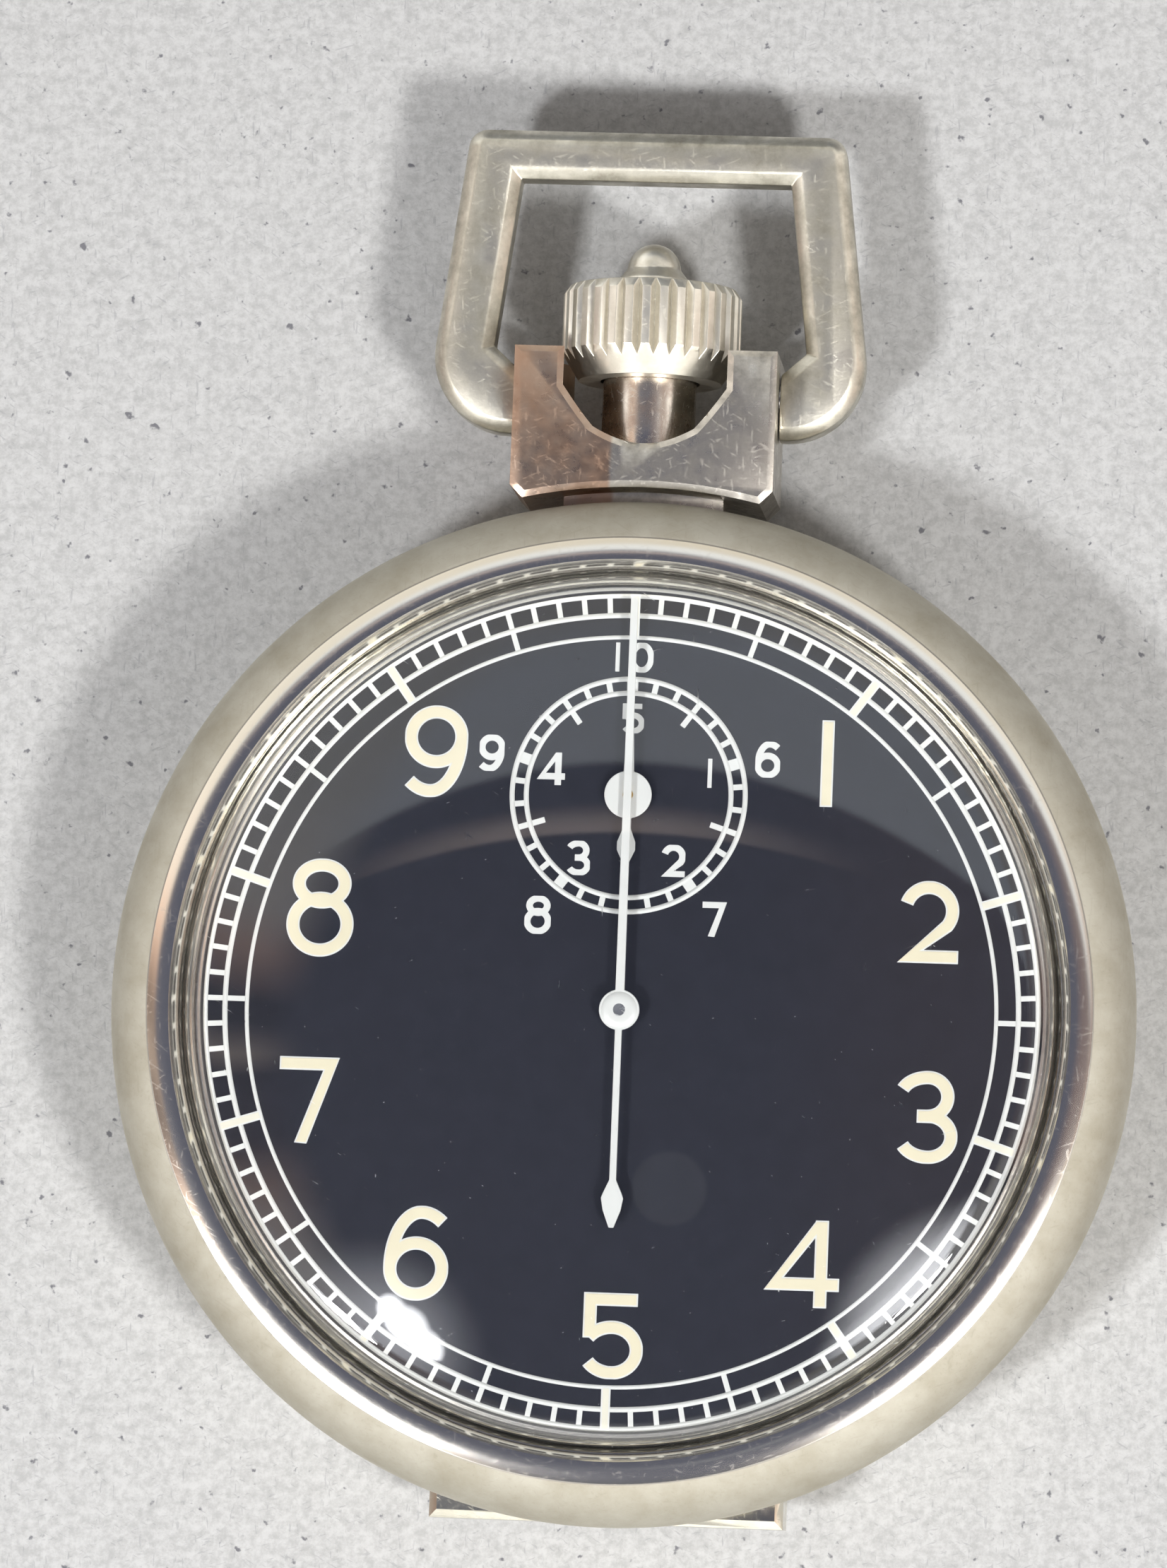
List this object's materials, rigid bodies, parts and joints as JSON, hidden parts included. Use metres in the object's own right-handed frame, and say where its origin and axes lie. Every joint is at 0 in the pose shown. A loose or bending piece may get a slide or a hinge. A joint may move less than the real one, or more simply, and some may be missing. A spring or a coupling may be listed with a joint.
{
  "type": "pocket stopwatch",
  "caption": "Pocket stopwatch with a domed crystal, black dial, sweep and register hands, fluted push crown, swinging bow and a full toothed movement inside.",
  "frame": {"origin": "centre of the flat of the back, which the watch lies on", "axes": "+Z out of the dial, +Y from the dial's centre to the crown, +X to the right of the dial"},
  "size_m": [0.051, 0.07, 0.0145],
  "materials": {
    "case_metal": "satin, warm nickel",
    "bright_metal": "bright nickel",
    "crystal": "clear, lightly scratched",
    "dial_black": "matt black",
    "hand_white": "matt white",
    "plate_nickel": "nickel plated",
    "wheel_brass": "gilt",
    "steel": "polished",
    "blued_steel": "blued",
    "spring_steel": "tempered",
    "ruby": "polished"
  },
  "bodies": {
    "case": {"back_cover": "case_metal", "case_middle": "case_metal", "bezel": "case_metal", "crystal": "crystal", "pendant_block": "bright_metal", "pendant_sleeve": "bright_metal", "bow_pins": "steel", "dial": "dial_black", "dial_foot_screws": "blued_steel", "main_plate": "plate_nickel", "barrel_bridge": "plate_nickel", "train_bridge": "plate_nickel", "balance_cock": "plate_nickel", "pallet_bridge": "plate_nickel", "bridge_screws": "blued_steel", "case_screws": "blued_steel", "plate_jewels": "ruby", "bridge_jewels": "ruby", "crown_wheel_stud": "blued_steel", "click_spring": "steel", "hammer_spring": "steel", "lever_spring": "steel", "hairspring": "spring_steel", "hairspring_stud": "steel", "regulator": "steel"},
    "bow": {"bow": "case_metal"},
    "winding_pinion": {"winding_pinion": "steel"},
    "crown": {"crown": "bright_metal", "crown_pip": "bright_metal", "winding_stem": "steel"},
    "crown_wheel": {"crown_wheel": "steel"},
    "barrel_arbor": {"barrel_arbor": "steel", "ratchet_wheel": "steel"},
    "click": {"click": "steel"},
    "operating_lever": {"operating_lever": "steel"},
    "column_wheel": {"column_wheel": "steel"},
    "reset_hammer": {"reset_hammer": "steel"},
    "brake_lever": {"brake_lever": "steel"},
    "sweep_hand": {"sweep_hand": "hand_white", "sweep_arbor": "steel", "sweep_wheel": "wheel_brass", "sweep_heart_cam": "steel"},
    "third_wheel": {"third_wheel": "wheel_brass", "third_pinion": "steel"},
    "second_wheel": {"second_wheel": "wheel_brass", "second_pinion": "steel"},
    "barrel": {"barrel": "wheel_brass", "barrel_cover": "wheel_brass", "mainspring": "spring_steel"},
    "escape_wheel": {"escape_wheel": "steel", "escape_pinion": "steel"},
    "intermediate_wheel": {"intermediate_wheel": "wheel_brass"},
    "register_hand": {"register_hand": "hand_white", "register_wheel": "wheel_brass", "register_heart_cam": "steel"},
    "balance": {"balance_wheel": "wheel_brass", "balance_staff": "steel", "roller": "steel"},
    "pallet_fork": {"pallet_fork": "steel", "pallet_stones": "ruby"}
  },
  "joints": [
    {"name": "bow_swing", "type": "hinge", "parent": "case", "child": "bow", "pos_m": [0, 0.0312, 0.0055], "axis": [1, 0, 0], "range_deg": [-110, 110]},
    {"name": "crown_turn", "type": "hinge", "parent": "case", "child": "winding_pinion", "pos_m": [0, 0.0169, 0.0055], "axis": [0, 1, 0], "continuous": true},
    {"name": "crown_push", "type": "slide", "parent": "winding_pinion", "child": "crown", "axis": [0, -1, 0], "range_m": [0, 0.0012], "stiffness_N_per_m": 1500, "springref_m": -0.0004},
    {"name": "crown_wheel_turn", "type": "hinge", "parent": "case", "child": "crown_wheel", "pos_m": [0, 0.0131, 0.003], "axis": [0, 0, 1], "continuous": true},
    {"name": "ratchet_turn", "type": "hinge", "parent": "case", "child": "barrel_arbor", "pos_m": [-0.00951, 0.00738, 0.003], "axis": [0, 0, 1], "continuous": true},
    {"name": "click_pivot", "type": "hinge", "parent": "case", "child": "click", "pos_m": [-0.00739, 0.0153, 0.003], "axis": [0, 0, 1], "range_deg": [0, 6], "stiffness_Nm_per_rad": 0.002, "springref_deg": -11.46, "deforming": ["click_spring"]},
    {"name": "operating_lever_pivot", "type": "hinge", "parent": "case", "child": "operating_lever", "pos_m": [0.0065, 0.0145, 0.005], "axis": [0, 0, 1], "range_deg": [0, 10.65], "deforming": ["lever_spring"]},
    {"name": "column_wheel_turn", "type": "hinge", "parent": "case", "child": "column_wheel", "pos_m": [0.0122, 0.0086, 0.0045], "axis": [0, 0, 1], "continuous": true},
    {"name": "reset_hammer_pivot", "type": "hinge", "parent": "case", "child": "reset_hammer", "pos_m": [0.0082, -0.0062, 0.0083], "axis": [0, 0, 1], "range_deg": [0, 3.5], "stiffness_Nm_per_rad": 0.005, "springref_deg": -5.73, "deforming": ["hammer_spring"]},
    {"name": "brake_lever_pivot", "type": "hinge", "parent": "case", "child": "brake_lever", "pos_m": [0.0152, 0.0018, 0.0035], "axis": [0, 0, 1], "range_deg": [-3.5, 0]},
    {"name": "sweep_turn", "type": "hinge", "parent": "case", "child": "sweep_hand", "pos_m": [0, 0, 0.005], "axis": [0, 0, 1], "continuous": true},
    {"name": "third_wheel_turn", "type": "hinge", "parent": "case", "child": "third_wheel", "pos_m": [-0.00139, -0.00481, 0.005], "axis": [0, 0, 1], "continuous": true},
    {"name": "second_wheel_turn", "type": "hinge", "parent": "case", "child": "second_wheel", "pos_m": [-0.00719, -0.00193, 0.005], "axis": [0, 0, 1], "continuous": true},
    {"name": "barrel_turn", "type": "hinge", "parent": "case", "child": "barrel", "pos_m": [-0.00951, 0.00738, 0.0045], "axis": [0, 0, 1], "continuous": true},
    {"name": "escape_wheel_turn", "type": "hinge", "parent": "case", "child": "escape_wheel", "pos_m": [0.00387, -0.00271, 0.005], "axis": [0, 0, 1], "continuous": true},
    {"name": "intermediate_wheel_turn", "type": "hinge", "parent": "case", "child": "intermediate_wheel", "pos_m": [0.00224, 0.00513, 0.0075], "axis": [0, 0, 1], "continuous": true},
    {"name": "register_turn", "type": "hinge", "parent": "case", "child": "register_hand", "pos_m": [0, 0.0107, 0.008], "axis": [0, 0, 1], "continuous": true},
    {"name": "balance_swing", "type": "hinge", "parent": "case", "child": "balance", "pos_m": [0.00818, -0.00785, 0.0035], "axis": [0, 0, 1], "range_deg": [-175, 175], "stiffness_Nm_per_rad": 0.00002, "deforming": ["hairspring"]},
    {"name": "pallet_fork_pivot", "type": "hinge", "parent": "case", "child": "pallet_fork", "pos_m": [0.0058, -0.00501, 0.005], "axis": [0, 0, 1], "range_deg": [-3.6, 3.6]}
  ],
  "couplings": [
    {"joint": "crown_wheel_turn", "follows": "crown_turn", "ratio": 0.5},
    {"joint": "ratchet_turn", "follows": "crown_turn", "ratio": -0.38095},
    {"joint": "operating_lever_pivot", "follows": "crown_push", "rad_per_m": 154},
    {"joint": "third_wheel_turn", "follows": "sweep_turn", "ratio": -0.1},
    {"joint": "second_wheel_turn", "follows": "sweep_turn", "ratio": 0.0125},
    {"joint": "barrel_turn", "follows": "sweep_turn", "ratio": -0.0017857},
    {"joint": "escape_wheel_turn", "follows": "sweep_turn", "ratio": -13.333},
    {"joint": "intermediate_wheel_turn", "follows": "sweep_turn", "ratio": -0.16667},
    {"joint": "register_turn", "follows": "sweep_turn", "ratio": 0.033333},
    {"joint": "pallet_fork_pivot", "follows": "balance_swing", "ratio": 0.02}
  ]
}
